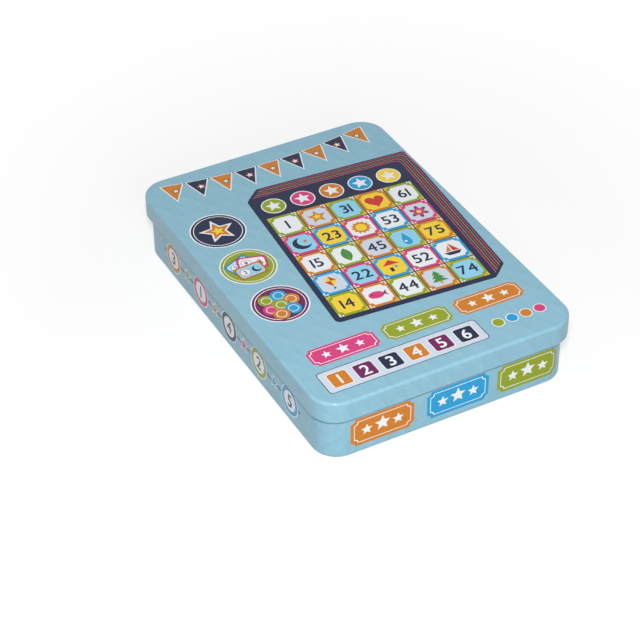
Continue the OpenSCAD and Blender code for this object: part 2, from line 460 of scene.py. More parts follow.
# Carries a wall's section round a rectangle with round corners
carried_round, given = new_maker(
    "section carried round a tin",
    [
        ("Width", "Float"),
        ("Length", "Float"),
        ("Corner radius", "Float"),
        ("Corner steps", "Int"),
        ("Material", "Material"),
    ],
)
rectangle = add(
    carried_round,
    "GeometryNodeCurvePrimitiveQuadrilateral",
    None,
    {"Width": given["Width"], "Height": given["Length"]},
)
rounded = add(
    carried_round,
    "GeometryNodeFilletCurve",
    {"mode": "POLY"},
    {"Curve": rectangle, "Radius": given["Corner radius"], "Count": given["Corner steps"]},
)
level = add(carried_round, "GeometryNodeSetCurveNormal", {"mode": "Z_UP"}, {"Curve": rounded})
profile = add(carried_round, "GeometryNodeMeshToCurve", None, {0: given["Geometry"]})
swept = add(
    carried_round, "GeometryNodeCurveToMesh", None, {"Curve": level, "Profile Curve": profile}
)
end_maker(carried_round, swept, given["Material"])


def new_finish(name, roughness, metallic=0.0):
    """A material, its node tree and its shader, with the values that are even all over."""
    finish = bpy.data.materials.new(name)
    finish.use_nodes = True
    shader = finish.node_tree.nodes["Principled BSDF"]
    shader.inputs["Roughness"].default_value = roughness
    shader.inputs["Metallic"].default_value = metallic
    return finish, finish.node_tree, shader


def feed(shader, socket, value):
    """Joins a value that varies over the surface to one of the shader's sockets."""
    shader.id_data.links.new(value, shader.inputs[socket])


def on_object(tree):
    """The place on the object, in metres."""
    return add(tree, "ShaderNodeTexCoord", None, None, 3)


def stretched(tree, place, scale):
    """A place with its axes scaled, for a grain that runs one way."""
    return add(tree, "ShaderNodeMapping", None, {"Vector": place, "Scale": scale})


def maths(tree, operation, a, b=0.0, c=0.0):
    return add(tree, "ShaderNodeMath", {"operation": operation}, {0: a, 1: b, 2: c})


def noise(tree, place, scale, detail, roughness=0.5):
    inputs = {"Vector": place, "Scale": scale, "Detail": detail, "Roughness": roughness}
    return add(tree, "ShaderNodeTexNoise", None, inputs)


def spread(tree, value, low, high, to_low, to_high):
    """Stretches a value from one range to another and holds it there."""
    inputs = {0: value, 1: low, 2: high, 3: to_low, 4: to_high}
    return add(tree, "ShaderNodeMapRange", {"clamp": True}, inputs)


def mixed(tree, share, a, b, blend="MIX"):
    """Mixes two colours."""
    inputs = {0: share, 6: a, 7: b}
    return add(tree, "ShaderNodeMix", {"data_type": "RGBA", "blend_type": blend}, inputs, 2)


def bumped(tree, shader, heights):
    """Stacks bumps, each a height, its strength and its depth in metres."""
    normal = None
    for height, strength, depth in heights:
        inputs = {"Height": height, "Strength": strength, "Distance": depth}
        if normal:
            inputs["Normal"] = normal
        normal = add(tree, "ShaderNodeBump", None, inputs)
    feed(shader, "Normal", normal)


def print_finish(name, fold_height):
    """Print under varnish on tinplate: a ground of faint faceted lozenges on the flat sheet, ink
    over it, and bare specks where the sheet is bent hardest, at the given height."""
    finish, tree, shader = new_finish(name, 0.3)
    shader.inputs["Specular IOR Level"].default_value = 0.16
    shader.inputs["Coat Weight"].default_value = 0.16
    shader.inputs["Coat Roughness"].default_value = 0.1
    place = on_object(tree)
    sheet = add(tree, "ShaderNodeUVMap", {"uv_map": "sheet"})
    flat = add(tree, "ShaderNodeSeparateXYZ", None, {0: sheet})
    flat_y = flat.node.outputs[1]

    # Lozenges in slanting rows, each with a tone of its own and cut into four facets
    lozenge_width, lozenge_height = 0.009, 0.014
    across = maths(tree, "MULTIPLY", flat, 1 / lozenge_width)
    up = maths(tree, "MULTIPLY", flat_y, 1 / lozenge_height)
    first = maths(tree, "ADD", across, up)
    second = maths(tree, "SUBTRACT", across, up)
    cell = add(tree, "ShaderNodeCombineXYZ", None,
               {0: maths(tree, "FLOOR", first), 1: maths(tree, "FLOOR", second)})
    chance = add(tree, "ShaderNodeTexWhiteNoise", {"noise_dimensions": "2D"}, {"Vector": cell})
    in_first, in_second = maths(tree, "FRACT", first), maths(tree, "FRACT", second)
    right_facet = maths(tree, "GREATER_THAN", maths(tree, "ADD", in_first, in_second), 1.0)
    top_facet = maths(tree, "GREATER_THAN", in_first, in_second)
    facet = maths(tree, "MULTIPLY_ADD", right_facet, 0.35, maths(tree, "MULTIPLY", top_facet, 0.25))
    tone = maths(tree, "MULTIPLY_ADD", chance, 0.4, facet)
    mottle = noise(tree, place, 35.0, 3.0)
    tone = maths(tree, "MULTIPLY_ADD", mottle, 0.5, tone)
    deep_blue, light_blue = (0.24, 0.462, 0.58, 1), (0.276, 0.516, 0.632, 1)
    ground = mixed(tree, spread(tree, tone, 0.1, 1.4, 0.0, 1.0), deep_blue, light_blue)

    ink = add(tree, "ShaderNodeVertexColor", {"layer_name": "ink"})
    covered = ink.node.outputs["Alpha"]
    inked = mixed(tree, covered, ground, ink)

    # Specks of bare tin along the fold and fine rub marks over everything
    height = add(tree, "ShaderNodeSeparateXYZ", None, {0: place}, 2)
    from_fold = maths(tree, "ABSOLUTE", maths(tree, "SUBTRACT", height, fold_height))
    on_fold = spread(tree, from_fold, 0.0003, 0.0007, 1.0, 0.0)
    grain = noise(tree, place, 1400.0, 4.0, 0.7)
    patches = noise(tree, place, 60.0, 2.0)
    speck = maths(tree, "MULTIPLY", spread(tree, grain, 0.66, 0.7, 0.0, 1.0),
                  spread(tree, patches, 0.5, 0.62, 0.0, 1.0))
    speck = maths(tree, "MULTIPLY", speck, on_fold)
    bare_tin = (0.72, 0.74, 0.76, 1)
    feed(shader, "Base Color", mixed(tree, speck, inked, bare_tin))
    rubbed = noise(tree, place, 22.0, 5.0, 0.65)
    feed(shader, "Roughness", spread(tree, rubbed, 0.3, 0.7, 0.24, 0.36))

    # The sheet is never quite flat, and the varnish lies on it like very fine orange peel
    oil_canning = noise(tree, place, 16.0, 1.0)
    orange_peel = noise(tree, place, 900.0, 2.0)
    bumped(tree, shader, [(oil_canning, 0.5, 0.0006), (orange_peel, 0.08, 0.00002),
                          (covered, 0.05, 0.00001)])
    return finish


def bright_tinplate():
    """The sheet's other side: bright tin under a thin clear lacquer, with the mill's grain."""
    finish, tree, shader = new_finish("lacquered bright tinplate", 0.3, 1.0)
    place = on_object(tree)
    sheet = add(tree, "ShaderNodeUVMap", {"uv_map": "sheet"})
    mill_grain = noise(tree, stretched(tree, sheet, (700, 14, 1)), 1.0, 2.0)
    clouds = noise(tree, place, 28.0, 3.0)
    dull_tin, bright_tin = (0.385, 0.383, 0.37, 1), (0.45, 0.447, 0.433, 1)
    colour = mixed(tree, spread(tree, clouds, 0.3, 0.7, 0, 1), dull_tin, bright_tin)
    feed(shader, "Base Color", colour)
    feed(shader, "Roughness", maths(tree, "MULTIPLY_ADD", mill_grain, 0.2, 0.45))
    oil_canning = noise(tree, place, 16.0, 1.0)
    bumped(tree, shader, [(oil_canning, 0.5, 0.0006), (mill_grain, 0.1, 0.00001)])
    return finish


tray_low, tray_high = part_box("base_tray")
rim_out = 2 * RIM_ROLL - PLATE
tray_line = Outline(
    (tray_high.x - tray_low.x) / MM - 2 * rim_out,
    (tray_high.y - tray_low.y) / MM - 2 * rim_out,
    TRAY_CORNER,
)
rim_z = tray_high.z / MM - RIM_ROLL
wall_low, wall_high = WALL_PRINT

tray_wall = Section(-FOOT_BEND - LAP, 0)
tray_wall.line(-FOOT_BEND, 0, PRINTED)
tray_wall.bend(-FOOT_BEND, FOOT_BEND, FOOT_BEND, -90, 0, 8, PRINTED)
tray_wall.line(0, wall_low, PRINTED)
band_reach = tray_wall.reach[-1]
tray_wall.line(0, wall_high, BAND)
tray_wall.line(0, rim_z, PRINTED)
roll_x = RIM_ROLL - PLATE
cut_edge = math.radians(ROLL_END)
tray_wall.bend(roll_x, rim_z, RIM_ROLL - PLATE, 180, ROLL_END, 16, PRINTED)
cut_x, cut_z = roll_x + RIM_ROLL * math.cos(cut_edge), rim_z + RIM_ROLL * math.sin(cut_edge)
tray_wall.line(cut_x, cut_z, BRIGHT)
tray_wall.bend(roll_x, rim_z, RIM_ROLL, ROLL_END, 180, 24, BRIGHT)
tray_wall.line(-PLATE, FOOT_BEND, BRIGHT)
tray_wall.bend(-FOOT_BEND, FOOT_BEND, FOOT_BEND - PLATE, 0, -90, 6, BRIGHT)
tray_wall.line(-FOOT_BEND - LAP, PLATE, BRIGHT)

floor_line = Outline(
    tray_line.width - 2 * FOOT_RING, tray_line.length - 2 * FOOT_RING, FLOOR_CORNER
)
under_step = Section(0.3, 0)
over_step = Section(0.3, PLATE)
for x, z in ((0.06, 0.01), (-0.06, 0.08), (-0.54, 0.52), (-0.66, 0.59), (-0.9, 0.6)):
    under_step.line(x, z, PRINTED)
    over_step.line(x, z + PLATE, BRIGHT)

# Long sides: a navy line with numbered roundels and stars. Short sides: tickets
corner_stations = tray_line.steps + 1
side_middles = {}
for k, side in enumerate(("back", "left", "front", "right"), 1):
    starts, ends = tray_line.walked[corner_stations * k - 1 : corner_stations * k + 1]
    side_middles[side] = float(starts + ends) / 2
wall_sheet = Print()
for side, numbers in (("left", (3, 1, 4, 2, 5)), ("right", (6, 2, 5, 3, 1))):
    middle = side_middles[side]
    wall_sheet.lay(block(middle, PRINT_HEIGHT, 150, 1.0, 0.49), "navy")
    for i, number in enumerate(numbers):
        x = middle + ROUNDEL_PITCH * (i - 2)
        paint = ("orange", "pink", "navy", "lime", "bright blue")[i]
        lay_discs(wall_sheet, x, PRINT_HEIGHT, (8.4, "white"), (7.8, paint), (5.6, "white"))
        lay_number(wall_sheet, number, x, PRINT_HEIGHT, 7.0, "navy", "white")
    for i, paint in enumerate(("lime", "orange", "pink", "bright blue")):
        x = middle + ROUNDEL_PITCH * (i - 1.5)
        wall_sheet.lay(star(x, PRINT_HEIGHT, 4.6), "white")
        wall_sheet.lay(star(x, PRINT_HEIGHT, 3.4), paint)
for side, across, paint in (
    ("front", -37, "orange"),
    ("front", 4, "bright blue"),
    ("front", 43, "lime"),
    ("back", 0, "bright blue"),
):
    lay_ticket(wall_sheet, side_middles[side] + across, PRINT_HEIGHT, paint, **WALL_TICKET)

tray = Tinplate()
wall_rings = tray.add_carried(tray_line, tray_wall)
under_rings = tray.add_carried(floor_line, under_step)
over_rings = tray.add_carried(floor_line, over_step)
tray.add_band(tray_line, wall_low, wall_high, band_reach, wall_sheet.shapes)
for z, wall_ring, step_rings, side in (
    (0, wall_rings[:, 0], under_rings, PRINTED),
    (PLATE, wall_rings[:, -1], over_rings, BRIGHT),
):
    tray.add_flat(z, from_above(wall_ring), [(from_above(step_rings[:, 0]), "hole")], side)
    tray.add_flat(z + FLOOR_RISE, from_above(step_rings[:, -1]), (), side)

bright_side = bright_tinplate()
tray_print = print_finish("varnished print on tray", fold_height=0.0006)
base_tray = tray.made("printed_tray", [tray_print, bright_side])
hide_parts("base_tray")
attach(base_tray, "base")

# ---------------------------------------------------------------------------------------------
# Lid. A second shell drawn from the same printed sheet, with a soft fold round its top, a skirt
# that stands out past the tray, and a hem folded up inside it. The hem is cut away and the skirt
# notched where the two hinges go. Its top shows what the tin holds.
# ---------------------------------------------------------------------------------------------
LID_CORNER = 14.0
LID_FOLD = 1.5
HEM = 0.7
HEM_HEIGHT = 2.0
HEM_BEVEL = 0.08
HINGES_AT = 38.0
NOTCH_WIDTH = 22.0
NOTCH_HEIGHT = 1.8
BOARD_SIZE = (110.0, 140.0, 4.0)
CARD_SIZE = (74.0, 48.0, 3.0)
BRIGHTS = ("lime", "pink", "orange", "bright blue")
PENNANT_PITCH = 13.4
STRING_Y, STRING_SAG, STRING_REACH = 95, 7, 60
MEDALLION_X, MEDALLION = -50, 14.5
LID_TICKET_Y, PLAYER_STRIP_X, PLAYER_STRIP_Y = -66.5, -18, -85
LID_TICKET = {
    "width": 36, "height": 12.6, "bite": 2.2, "line_in": 2.4, "line_bite": 1.9,
    "pitch": 9, "small": 2.6, "big": 3.6, "lift": 0.2,
}


def traced(point_at, steps=36):
    """A closed outline from a rule that turns a share of the way round into a point."""
    return [point_at(2 * math.pi * i / steps) for i in range(steps)]


def drawing(*shapes):
    sheet = Print()
    for outline, ink in shapes:
        sheet.lay(outline, ink)
    return sheet


def petalled(radius, depth, petals):
    def point_at(t):
        reach = radius * (1 - depth + depth * math.cos(petals * t))
        return reach * math.sin(t), reach * math.cos(t)

    return traced(point_at, 60)


def heart_point(t):
    y = 13 * math.cos(t) - 5 * math.cos(2 * t) - 2 * math.cos(3 * t) - math.cos(4 * t)
    return 0.95 * math.sin(t) ** 3, y / 16


# Small pictures one unit across each way from their middle. "under" is the ink they lie on.
PICTURES = (
    drawing((star(0, 0, 1), "orange"), (star(0, 0, 0.5), "yellow")),
    drawing((traced(heart_point), "red")),
    drawing((disc(0, 0, 0.9), "navy"), (disc(0.36, 0.22, 0.72), "under"),
            (star(0.4, 0.25, 0.3), "orange")),
    drawing((star(0, 0, 1, 0.72, 12), "orange"), (disc(0, 0, 0.55), "yellow")),
    drawing((petalled(0.95, 0.25, 6), "plum"), (petalled(0.7, 0.25, 6), "pink"),
            (disc(0, 0, 0.24), "yellow")),
    drawing((traced(lambda t: (0.5 * math.sin(t) * abs(math.sin(t)), math.cos(t))), "leaf green"),
            ([(0, 0.8), (-0.05, -0.9), (0.05, -0.9)], "lime")),
    drawing((traced(lambda t: (0.62 * math.sin(t) * math.sin(t / 2) ** 1.6, math.cos(t))),
             "bright blue"), (disc(-0.16, -0.4, 0.14, 12), "white")),
    drawing(([(0, 1), (-0.6, 0.3), (0, -0.55), (0.6, 0.3)], "red"),
            ([(0, 1), (-0.6, 0.3), (0, 0.3)], "yellow"),
            ([(0, 0.3), (0, -0.55), (0.6, 0.3)], "yellow"),
            ([(0, -0.55), (-0.22, -0.95), (0.1, -0.85)], "navy")),
    drawing((block(0, -0.3, 1.2, 1.0), "yellow"), ([(-0.85, 0.2), (0.85, 0.2), (0, 0.95)], "red"),
            (block(-0.2, -0.5, 0.34, 0.6), "navy"), (block(0.33, -0.2, 0.3, 0.3), "bright blue")),
    drawing(([(-0.9, -0.35), (-0.5, -0.8), (0.5, -0.8), (0.9, -0.35)], "navy"),
            ([(0.06, -0.25), (0.72, -0.25), (0.06, 0.95)], "red"),
            ([(-0.06, -0.25), (-0.06, 0.7), (-0.6, -0.25)], "orange")),
    drawing(([(0.45, 0), (0.95, 0.45), (0.8, 0), (0.95, -0.45)], "plum"),
            (traced(lambda t: (0.75 * math.cos(t) - 0.15, 0.5 * math.sin(t))), "pink"),
            (disc(-0.55, 0.1, 0.1, 12), "navy")),
    drawing((block(0, -0.75, 0.24, 0.5), "tan"),
            ([(0, 1), (-0.42, 0.4), (-0.2, 0.4), (-0.62, -0.1), (-0.3, -0.1), (-0.8, -0.6),
              (0.8, -0.6), (0.3, -0.1), (0.62, -0.1), (0.2, 0.4), (0.42, 0.4)], "leaf green")),
)


def framed(sheet, x, y, width, height, paint, panel):
    """One printed square: a bright ground with small dots and a pale panel with bitten corners."""
    sheet.lay(block(x, y, width, height), paint)
    for i, j in CORNERS:
        for along, down in ((0.46, 0.46), (0.37, 0.46), (0.46, 0.38)):
            dot = disc(x + i * along * width, y + j * down * height, 0.035 * width, 8)
            sheet.lay(dot, "white" if i == j else "yellow")
    sheet.lay(block(x, y, 0.84 * width, 0.8 * height, -0.13 * width, 4), panel)


def board_print(player):
    """A game board: a navy head with stars, and five rows of numbers and small pictures."""
    width, length, corner = BOARD_SIZE
    head_y, first_row_y = 57, 34.6
    column_pitch, row_pitch = 20.4, 22.3
    sheet = Print()
    sheet.lay(block(0, 0, width - 0.6, length - 0.6, corner - 0.3), "navy")
    for i in range(5):
        x, paint = column_pitch * (i - 2), (BRIGHTS + ("yellow",))[(i + player) % 5]
        lay_discs(sheet, x, head_y, (8.2, "white"), (7.4, paint))
        sheet.lay(star(x, head_y, 5.6), "white")
    for row in range(5):
        for column in range(5):
            x, y = column_pitch * (column - 2), first_row_y - row_pitch * row
            paint = BRIGHTS[(row + 2 * column + player) % 4]
            panel = ("white", "pale", "sky", "yellow", "white")[(2 * row + column + player) % 5]
            framed(sheet, x, y, 19.8, 21.7, paint, panel)
            if (row + column) % 2:
                picture = PICTURES[(5 * row + column + 5 * player) // 2 % len(PICTURES)]
                sheet.place(picture, x, y, 6.8, 0, {"under": panel})
            else:
                number = 15 * column + 1 + (7 * row + 4 * player) % 15
                lay_number(sheet, number, x, y, 8.4, "navy", panel)
    return sheet


def card_print(number):
    """A calling card: a bright border, a pale panel, its number and the picture called."""
    width, length, corner = CARD_SIZE
    paint, panel = BRIGHTS[number % 4], ("white", "pale", "sky")[number % 3]
    number_x, picture_x = -15, 17
    sheet = Print()
    sheet.lay(block(0, 0, width - 0.4, length - 0.4, corner - 0.2), paint)
    sheet.lay(block(0, 0, width - 9, length - 9, -5), "white")
    sheet.lay(block(0, 0, width - 10.4, length - 10.4, -5), panel)
    lay_discs(sheet, number_x, 0, (14, paint), (12.4, "white"))
    lay_number(sheet, number, number_x, 0, 13, "navy", "white")
    sheet.place(PICTURES[number % len(PICTURES)], picture_x, 0, 13.5, 0, {"under": panel})
    return sheet


def lay_medallion(sheet, y, paint):
    """A round picture on the lid, with a white edge and a thin white ring."""
    for reach, ink in ((1.0, "white"), (0.95, paint), (0.87, "white"), (0.84, paint)):
        sheet.lay(disc(MEDALLION_X, y, MEDALLION * reach), ink)


def string_height(x):
    """Where the string hangs that carries the pennants, lowest in the middle."""
    return STRING_Y - STRING_SAG * (1 - (x / STRING_REACH) ** 2)


lid_sheet = Print()

# A string of pennants hung across the back of the lid, each square to the string
string = [(x, string_height(x)) for x in range(-STRING_REACH, STRING_REACH + 1, 4)]
lid_sheet.lay([(x, y + 0.5) for x, y in string] + [(x, y - 0.5) for x, y in string[::-1]], "navy")
for i in range(9):
    x = PENNANT_PITCH * (i - 4)
    top = string_height(x)
    lean = 2 * STRING_SAG * x / STRING_REACH**2
    for grow, ink in ((0.9, "white"), (0, ("orange", "navy")[i % 2])):
        half, drop = 5.6 + grow, 13.6 + 1.6 * grow
        corners = ((-half, 0.2 + grow * 0.4), (half, 0.2 + grow * 0.4), (0, -drop))
        lid_sheet.lay([(x + a - lean * b, top + b + lean * a) for a, b in corners], ink)
    lid_sheet.lay(star(x, top - 5.6, 2.5), ("navy", "orange")[i % 2])
    lid_sheet.lay(star(x, top - 5.6, 1.7), "white")

# The boards, the top one in full and five more behind it
boards_at, boards_turn, boards_scale = (14.0, 4.0), -4.0, 0.8
width, length, corner = BOARD_SIZE
for k in (5, 4, 3, 2, 1):
    for less, ink in ((0, "navy"), (2.4, BRIGHTS[k % 2]), (3.6, "navy")):
        behind = drawing((block(0, 0, width - less, length - less, corner), ink))
        x, y = boards_at[0] + 1.5 * k, boards_at[1] + 1.3 * k
        lid_sheet.place(behind, x, y, boards_scale, boards_turn)
lid_sheet.place(board_print(0), *boards_at, boards_scale, boards_turn)

# Three medallions beside them: a star, the calling cards and round counters
star_y, cards_y, counters_y = 46, 12, -22
lay_medallion(lid_sheet, star_y, "navy")
for radius, ink in ((9.8, "white"), (7.4, "orange"), (3.6, "yellow")):
    lid_sheet.lay(star(MEDALLION_X, star_y, radius), ink)
lay_medallion(lid_sheet, cards_y, "lime")
for number, x, y, tilt in ((7, -53, 15, 24), (9, -47, 14, -16), (2, -50.5, 8.5, 4)):
    lid_sheet.place(drawing((block(0, 0, 76, 50, 4), "navy")), x, y, 0.2, tilt)
    lid_sheet.place(card_print(number), x, y, 0.2, tilt)
lay_medallion(lid_sheet, counters_y, "plum")
counters = (
    (-55, -17), (-48, -16), (-43.6, -21), (-56, -24.4), (-50, -23), (-46, -28), (-53, -29.4)
)
for i, (x, y) in enumerate(counters):
    paint = BRIGHTS[(3 * i) % 4]
    lid_sheet.lay(disc(x + 0.4, y - 0.5, 4.3), "navy")
    lay_discs(lid_sheet, x, y, (4.2, paint), (2.7, "white"), (2.3, paint))

# Three tickets with stars, a pale strip with a plain number for each player, and four dots
for x, paint in ((-40, "pink"), (0, "lime"), (40, "orange")):
    lay_ticket(lid_sheet, x, LID_TICKET_Y, paint, **LID_TICKET)
lid_sheet.lay(block(PLAYER_STRIP_X, PLAYER_STRIP_Y, 86, 16, 2), "navy")
lid_sheet.lay(block(PLAYER_STRIP_X, PLAYER_STRIP_Y, 85.2, 15.2, 1.7), "pale")
for number in range(1, 7):
    x = PLAYER_STRIP_X + 13.6 * (number - 3.5)
    paint = ("navy", "orange", "plum")[number % 3]
    lid_sheet.lay(block(x, PLAYER_STRIP_Y, 10.6, 10.6, 1.5), "white")
    lid_sheet.lay(block(x, PLAYER_STRIP_Y, 9.8, 9.8, 1.2), paint)
    lay_number(lid_sheet, number, x, PLAYER_STRIP_Y, 6.6, "white", paint)
for i, paint in enumerate(("lime", "bright blue", "orange", "pink")):
    lay_discs(lid_sheet, 34 + 7.8 * i, PLAYER_STRIP_Y, (3.3, "white"), (2.8, paint))

lid_low, lid_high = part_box("lid")
lid_line = Outline((lid_high.x - lid_low.x) / MM, (lid_high.y - lid_low.y) / MM, LID_CORNER)
lid_top, skirt_z = lid_high.z / MM, lid_low.z / MM

lid_wall = Section(-LID_FOLD - LAP, lid_top)
lid_wall.line(-LID_FOLD, lid_top, PRINTED)
lid_wall.bend(-LID_FOLD, lid_top - LID_FOLD, LID_FOLD, 90, 0, 10, PRINTED)
lid_wall.line(0, lid_top - LID_FOLD - 0.4, PRINTED)
lid_wall.line(0, skirt_z + HEM / 2 + 0.3, PRINTED)
lid_wall.line(0, skirt_z + HEM / 2, PRINTED)
lid_wall.bend(-HEM / 2, skirt_z + HEM / 2, HEM / 2, 0, -180, 10, PRINTED)
lid_wall.line(-HEM, skirt_z + HEM_HEIGHT - HEM_BEVEL, PRINTED)
lid_wall.line(-HEM + HEM_BEVEL, skirt_z + HEM_HEIGHT, BRIGHT)
lid_wall.line(-PLATE, skirt_z + HEM_HEIGHT, BRIGHT)
lid_wall.line(-PLATE, lid_top - LID_FOLD, BRIGHT)
lid_wall.bend(-LID_FOLD, lid_top - LID_FOLD, LID_FOLD - PLATE, 0, 90, 8, BRIGHT)
lid_wall.line(-LID_FOLD - LAP, lid_top - PLATE, BRIGHT)

lid_shell = Tinplate()
rings = lid_shell.add_carried(lid_line, lid_wall)
lid_shell.add_flat(lid_top, from_above(rings[:, 0]), lid_sheet.shapes)
lid_shell.add_flat(lid_top - PLATE, from_above(rings[:, -1]), (), BRIGHT)
lid_print = print_finish("varnished print on lid", fold_height=0.0347)
lid = lid_shell.made("printed_lid", [lid_print, bright_side])

# The press tool that cuts both hinge notches: through the skirt low down, and the hem above it
skirt_y = lid_line.length / 2
inner_y = skirt_y - PLATE + 0.01
cut_section = [
    (skirt_y - 2.6, skirt_z - 1),
    (skirt_y + 1, skirt_z - 1),
    (skirt_y + 1, skirt_z + NOTCH_HEIGHT),
    (inner_y, skirt_z + NOTCH_HEIGHT),
    (inner_y, skirt_z + HEM_HEIGHT + 1),
    (skirt_y - 2.6, skirt_z + HEM_HEIGHT + 1),
]
cuts = bmesh.new()
for middle in (-HINGES_AT, HINGES_AT):
    near, far = [
        [cuts.verts.new((x * MM, y * MM, z * MM)) for y, z in cut_section]
        for x in (middle - NOTCH_WIDTH / 2, middle + NOTCH_WIDTH / 2)
    ]
    cuts.faces.new(near[::-1])
    cuts.faces.new(far)
    for i in range(len(cut_section)):
        cuts.faces.new((near[i - 1], near[i], far[i], far[i - 1]))
bmesh.ops.recalc_face_normals(cuts, faces=cuts.faces)
cut_mesh = bpy.data.meshes.new("notch tool")
cuts.to_mesh(cut_mesh)
cuts.free()
tool = set_down("notch_tool", cut_mesh)
notching = lid.modifiers.new("notches", "BOOLEAN")
notching.operation, notching.object, notching.solver = "DIFFERENCE", tool, "EXACT"
bpy.context.view_layer.update()
lid.data = bpy.data.meshes.new_from_object(
    lid.evaluated_get(bpy.context.evaluated_depsgraph_get())
)
lid.modifiers.clear()
bpy.data.objects.remove(tool)
lid.data.set_sharp_from_angle(angle=SHARP_BEND)
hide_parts("lid")
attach(lid, "lid")

# ---------------------------------------------------------------------------------------------
# Hinge leaves. Four stampings of bright tinplate, two welded to the tray's back wall and two
# inside the skirt, each rolled into knuckles round the pin, with the marks of three spot welds.
# ---------------------------------------------------------------------------------------------
LEAF_PLATE = 0.35
WELD_SPACING = 6.4
WELD_RADIUS = 0.9


def softened(node, name, edge_radius, segments):
    """A copy of a construction solid with its facets merged and its edges rounded."""
    solid = bmesh.new()
    solid.from_mesh(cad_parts[node].data)
    bmesh.ops.remove_doubles(solid, verts=solid.verts, dist=1e-6)
    facet, corner = math.radians(1.5), math.radians(30)
    bmesh.ops.dissolve_limit(solid, angle_limit=facet, verts=solid.verts, edges=solid.edges)
    edges = [e for e in solid.edges if e.is_manifold and e.calc_face_angle() > corner]
    bmesh.ops.bevel(
        solid, geom=edges, offset=edge_radius, segments=segments, profile=0.5, affect="EDGES",
        clamp_overlap=True,
    )
    mesh = bpy.data.meshes.new(name)
    solid.to_mesh(mesh)
    solid.free()
    mesh.shade_smooth()
    mesh.set_sharp_from_angle(angle=math.radians(40))
    piece = set_down(name, mesh)
    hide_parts(node)
    return piece


stamped, tree, shader = new_finish("stamped hinge tinplate", 0.32, 1.0)
place = on_object(tree)
grain = noise(tree, stretched(tree, place, (8, 90, 90)), 40.0, 4.0)
smudges = noise(tree, place, 160.0, 3.0)
clean, smudged = (0.62, 0.63, 0.64, 1), (0.44, 0.44, 0.45, 1)
tint = mixed(tree, spread(tree, smudges, 0.35, 0.7, 0, 1), clean, smudged)
feed(shader, "Base Color", tint)
feed(shader, "Roughness", maths(tree, "MULTIPLY_ADD", grain, 0.25, 0.2))
bumped(tree, shader, [(grain, 0.15, 0.00002), (smudges, 0.1, 0.00005)])

# The raised lip of a weld, set on each of the marked points
weld_marks, given = new_maker(
    "spot welds",
    [
        ("Lip radius", "Float"),
        ("Wire radius", "Float"),
        ("Lip height", "Float"),
        ("Material", "Material"),
    ],
)
lip_line, lip_wire = [
    add(
        weld_marks,
        "GeometryNodeCurvePrimitiveCircle",
        None,
        {"Resolution": steps, "Radius": given[radius]},
    )
    for steps, radius in ((24, "Lip radius"), (8, "Wire radius"))
]
lip = add(
    weld_marks, "GeometryNodeCurveToMesh", None, {"Curve": lip_line, "Profile Curve": lip_wire}
)
pressed = add(weld_marks, "ShaderNodeCombineXYZ", None, {0: 1.0, 1: 1.0, 2: given["Lip height"]})
upright = (math.pi / 2, 0, 0)
flat_lip = add(
    weld_marks,
    "GeometryNodeTransform",
    None,
    {"Geometry": lip, "Scale": pressed, "Rotation": upright},
)
marks = add(weld_marks, "GeometryNodeMeshToPoints", None, {0: given["Geometry"]})
set_out = add(
    weld_marks, "GeometryNodeInstanceOnPoints", None, {"Points": marks, "Instance": flat_lip}
)
end_maker(weld_marks, set_out, given["Material"])

for body, kind, face_y, mark_z in (
    ("base", "base_hinge_leaf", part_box("base_hinge_leaf_left")[0].y + LEAF_PLATE * MM, 19.0),
    ("lid", "lid_hinge_leaf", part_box("lid_hinge_leaf_left")[1].y - LEAF_PLATE * MM, 28.6),
):
    for side in ("left", "right"):
        leaf = softened(f"{kind}_{side}", f"rolled_{kind}_{side}", 0.05 * MM, 2)
        leaf.data.materials.append(stamped)
        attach(leaf, body)
    points = [
        ((middle + WELD_SPACING * i) * MM, face_y, mark_z * MM)
        for middle in (-HINGES_AT, HINGES_AT)
        for i in (-1, 0, 1)
    ]
    start = bpy.data.meshes.new("weld points")
    start.from_pydata(points, [], [])
    values = {
        "Lip radius": WELD_RADIUS * MM,
        "Wire radius": 0.13 * MM,
        "Lip height": 0.5,
        "Material": stamped,
    }
    welds = set_down(f"{kind}_welds", made_by(weld_marks, start, values))
    welds.data.shade_smooth()
    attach(welds, body)

# ---------------------------------------------------------------------------------------------
# Hinge pins. Two lengths of drawn wire, pushed through the knuckles and peened over at both
# ends. They stay with the tray's leaves.
# ---------------------------------------------------------------------------------------------
wire, tree, shader = new_finish("drawn wire", 0.3, 1.0)
drawn = noise(tree, stretched(tree, on_object(tree), (6, 200, 200)), 30.0, 4.0)
feed(shader, "Base Color", mixed(tree, drawn, (0.3, 0.31, 0.32, 1), (0.5, 0.5, 0.51, 1)))
feed(shader, "Roughness", maths(tree, "MULTIPLY_ADD", drawn, 0.25, 0.2))
bumped(tree, shader, [(drawn, 0.2, 0.00001)])
for side in ("left", "right"):
    pin = softened(f"hinge_pin_{side}", f"peened_pin_{side}", 0.16 * MM, 4)
    pin.data.materials.append(wire)
    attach(pin, "base")

# ---------------------------------------------------------------------------------------------
# Boards. Six game boards of paperboard, printed on top, plain navy below and laminated on both
# faces, with eased edges. They lie in a pile, face up, and each has its own numbers.
# ---------------------------------------------------------------------------------------------


